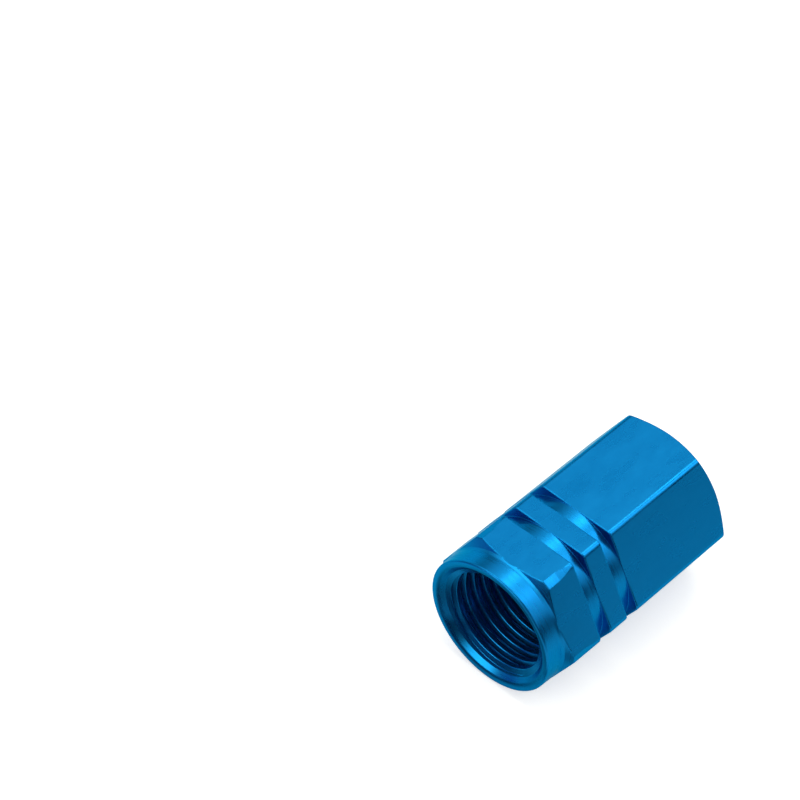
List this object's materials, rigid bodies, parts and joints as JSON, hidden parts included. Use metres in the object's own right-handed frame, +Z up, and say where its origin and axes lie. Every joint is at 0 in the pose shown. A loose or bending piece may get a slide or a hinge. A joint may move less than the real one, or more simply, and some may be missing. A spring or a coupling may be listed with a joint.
{
  "type": "tyre valve cap",
  "caption": "Blue anodised aluminium tyre valve cap: a hexagonal grip with turned grooves, a round collar, a closed bevelled end and a threaded blind bore with a rubber seal.",
  "frame": {"origin": "bottom centre of the cap as it lies on one flat, under the middle of its length", "axes": "-Y out of the threaded mouth along the bore axis, +Y to the closed end, +Z up through the top flat, +X across two corners of the hexagon"},
  "size_m": [0.0108, 0.0162, 0.0095],
  "materials": {
    "anodised_aluminium": "blue anodised, satin, with fine turning lines on the round surfaces",
    "seal_rubber": "matt black moulded rubber"
  },
  "bodies": {
    "root": {"cap_body": "anodised_aluminium", "seal_ring": "seal_rubber"}
  },
  "joints": []
}
